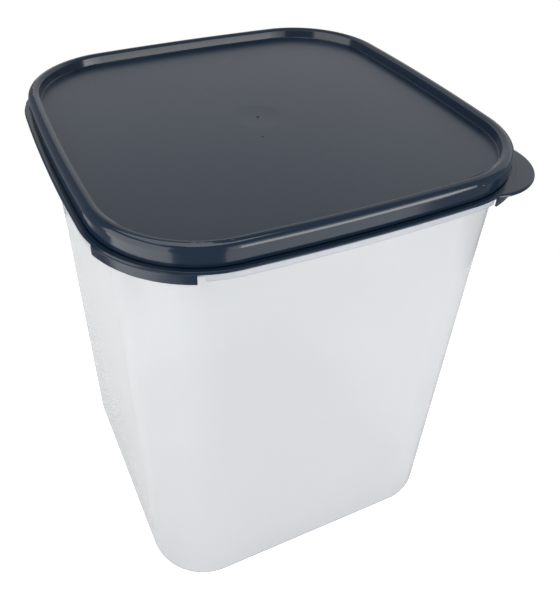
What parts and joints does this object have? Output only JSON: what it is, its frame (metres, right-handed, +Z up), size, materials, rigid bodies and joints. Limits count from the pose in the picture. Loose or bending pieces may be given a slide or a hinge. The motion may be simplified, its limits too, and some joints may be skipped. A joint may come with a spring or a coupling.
{
  "type": "square food storage container with press-on seal",
  "caption": "Tall square dry-food storage container, translucent milky plastic, closed with a dark press-on seal that has a sunk panel and a corner pull tab.",
  "frame": {"origin": "centre of the flat underside of the container, where it rests", "axes": "+Z up along the container's height, -Y out of the front face, +X to the right seen from the front; the seal's pull tab is at the +X -Y corner"},
  "size_m": [0.1936, 0.1936, 0.2271],
  "materials": {
    "milky_plastic": "translucent natural polypropylene, fine satin mould finish",
    "seal_plastic": "semi-gloss dark navy plastic, satin on the sunk panel"
  },
  "bodies": {
    "root": {"container": "milky_plastic", "lid": "seal_plastic"}
  },
  "joints": []
}
